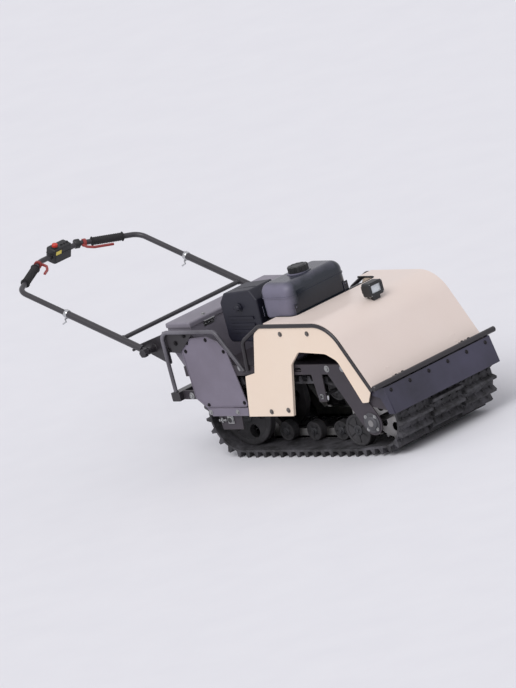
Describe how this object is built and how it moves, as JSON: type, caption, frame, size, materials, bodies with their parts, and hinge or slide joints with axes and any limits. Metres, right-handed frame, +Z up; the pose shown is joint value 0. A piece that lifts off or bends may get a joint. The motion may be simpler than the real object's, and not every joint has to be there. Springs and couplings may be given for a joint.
{
  "type": "tracked walk-behind snow tug",
  "caption": "Tracked walk-behind snow tug: one wide lugged belt, hinged hood, open engine, bumper, folding handlebar and tow hitch.",
  "frame": {"origin": "on the floor, in the middle of the overall length and width", "axes": "+X to the front (bumper), +Y to the machine's left, +Z up"},
  "size_m": [2.2372, 0.823, 0.906],
  "materials": {
    "hood_sheet": "satin sand enamel",
    "fender_sheet": "satin sand enamel",
    "black_tube": "black powder coat",
    "handle_tube": "dark grey powder coat",
    "bumper_black": "gloss black enamel",
    "grey_panel": "grey powder coat",
    "light_grey_box": "light grey powder coat",
    "chassis_steel": "dark grey primer",
    "track_rubber": "moulded rubber",
    "steel_axle": "turned steel",
    "wheel_plastic": "rubber-tyred wheels",
    "rail_alloy": "extruded alloy",
    "engine_alloy": "cast alloy",
    "tank_enamel": "gloss black enamel",
    "black_plastic": "moulded black plastic",
    "navy_plastic": "moulded navy plastic",
    "muffler_steel": "heat-stained steel",
    "grip_rubber": "ribbed rubber",
    "red_plastic": "red plastic",
    "lamp_glass": "pale lens"
  },
  "bodies": {
    "root": {"fender_right": "fender_sheet", "fender_left": "fender_sheet", "front_guard_right": "black_tube", "front_guard_left": "black_tube", "rear_guard_right": "black_tube", "rear_guard_left": "black_tube", "tow_bar": "black_tube", "handle_bracket_right": "black_tube", "handle_bracket_left": "black_tube", "bumper_bar": "black_tube", "bumper_panel": "bumper_black", "rear_panel_right": "grey_panel", "rear_panel_left": "grey_panel", "rear_box": "light_grey_box", "chassis": "chassis_steel", "front_arm_right": "chassis_steel", "front_arm_left": "chassis_steel", "chain_case": "chassis_steel", "track": "track_rubber", "drive_axle": "steel_axle", "rear_idler": "wheel_plastic", "nose_rollers": "wheel_plastic", "carrier_rollers": "wheel_plastic", "bogie_wheels": "wheel_plastic", "slide_rails": "rail_alloy", "engine_block": "engine_alloy", "cylinder_head": "engine_alloy", "carburettor": "engine_alloy", "fuel_tank": "tank_enamel", "recoil_starter": "tank_enamel", "tank_cap": "black_plastic", "belt_guard": "black_plastic", "air_cleaner": "navy_plastic", "muffler": "muffler_steel"},
    "hood": {"hood": "hood_sheet", "hood_hinges": "steel_axle", "headlight": "black_plastic", "headlight_lens": "lamp_glass"},
    "handlebar": {"handlebar": "handle_tube", "grips": "grip_rubber", "control_pod": "black_plastic", "kill_switch": "red_plastic", "brake_lever": "black_plastic", "throttle_lever": "black_plastic"}
  },
  "joints": [
    {"name": "hood_open", "type": "hinge", "parent": "root", "child": "hood", "pos_m": [1.04863, 0, 0.326], "axis": [0, 1, 0], "range_deg": [0, 70]},
    {"name": "handlebar_fold", "type": "hinge", "parent": "root", "child": "handlebar", "pos_m": [-0.26237, 0, 0.52], "axis": [0, 1, 0], "range_deg": [0, 85]}
  ]
}
